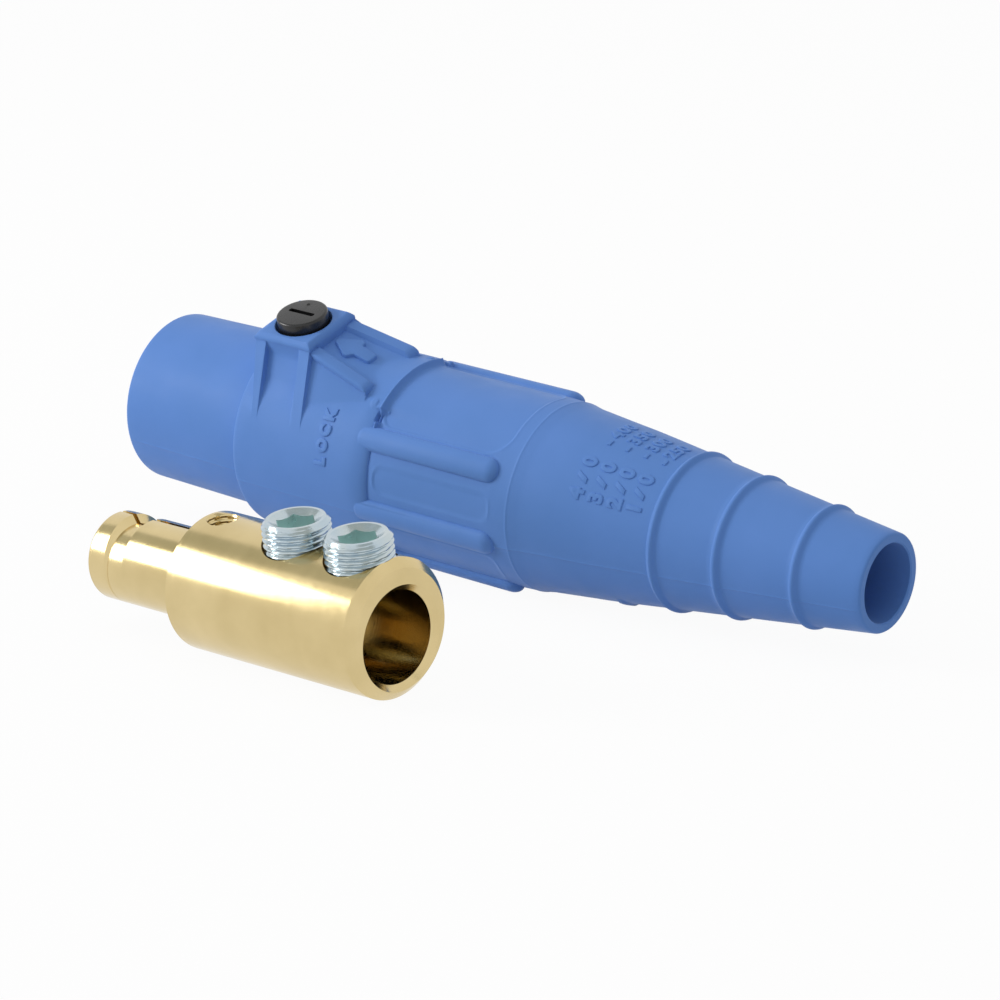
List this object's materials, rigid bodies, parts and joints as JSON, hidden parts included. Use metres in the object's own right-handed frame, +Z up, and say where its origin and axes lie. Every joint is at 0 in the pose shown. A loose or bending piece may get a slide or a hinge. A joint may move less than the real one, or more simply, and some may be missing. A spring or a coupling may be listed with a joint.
{
  "type": "cam-lock plug",
  "caption": "Single-pole cam-lock plug laid out unassembled: blue rubber sleeve with a plastic retaining screw, beside its slit brass contact with hollow-hex set screws.",
  "frame": {"origin": "bottom centre of the box round the sleeve and the contact, on the surface they lie on", "axes": "+X along the sleeve toward its cable end, +Z up, -Y toward the contact that lies beside it"},
  "size_m": [0.1694, 0.1012, 0.0489],
  "materials": {
    "blue_rubber": "satin moulded",
    "black_nylon": "moulded, slightly glossy",
    "turned_brass": "fine turned",
    "zinc_plated_steel": "bright zinc plated"
  },
  "bodies": {
    "sleeve_and_contact": {"insulating_sleeve": "blue_rubber", "brass_contact": "turned_brass"},
    "retaining_screw": {"retaining_screw": "black_nylon"},
    "set_screw_front": {"set_screw_front": "zinc_plated_steel"},
    "set_screw_rear": {"set_screw_rear": "zinc_plated_steel"}
  },
  "joints": [
    {"name": "retaining_screw_advance", "type": "slide", "parent": "sleeve_and_contact", "child": "retaining_screw", "axis": [0.0495, -0.3256, 0.9442], "range_m": [0, 0.0098]},
    {"name": "set_screw_front_advance", "type": "slide", "parent": "sleeve_and_contact", "child": "set_screw_front", "axis": [0.0102, 0.1388, -0.9903], "range_m": [-0.003, 0.009]},
    {"name": "set_screw_rear_advance", "type": "slide", "parent": "sleeve_and_contact", "child": "set_screw_rear", "axis": [0.0102, 0.1388, -0.9903], "range_m": [-0.003, 0.009]}
  ]
}
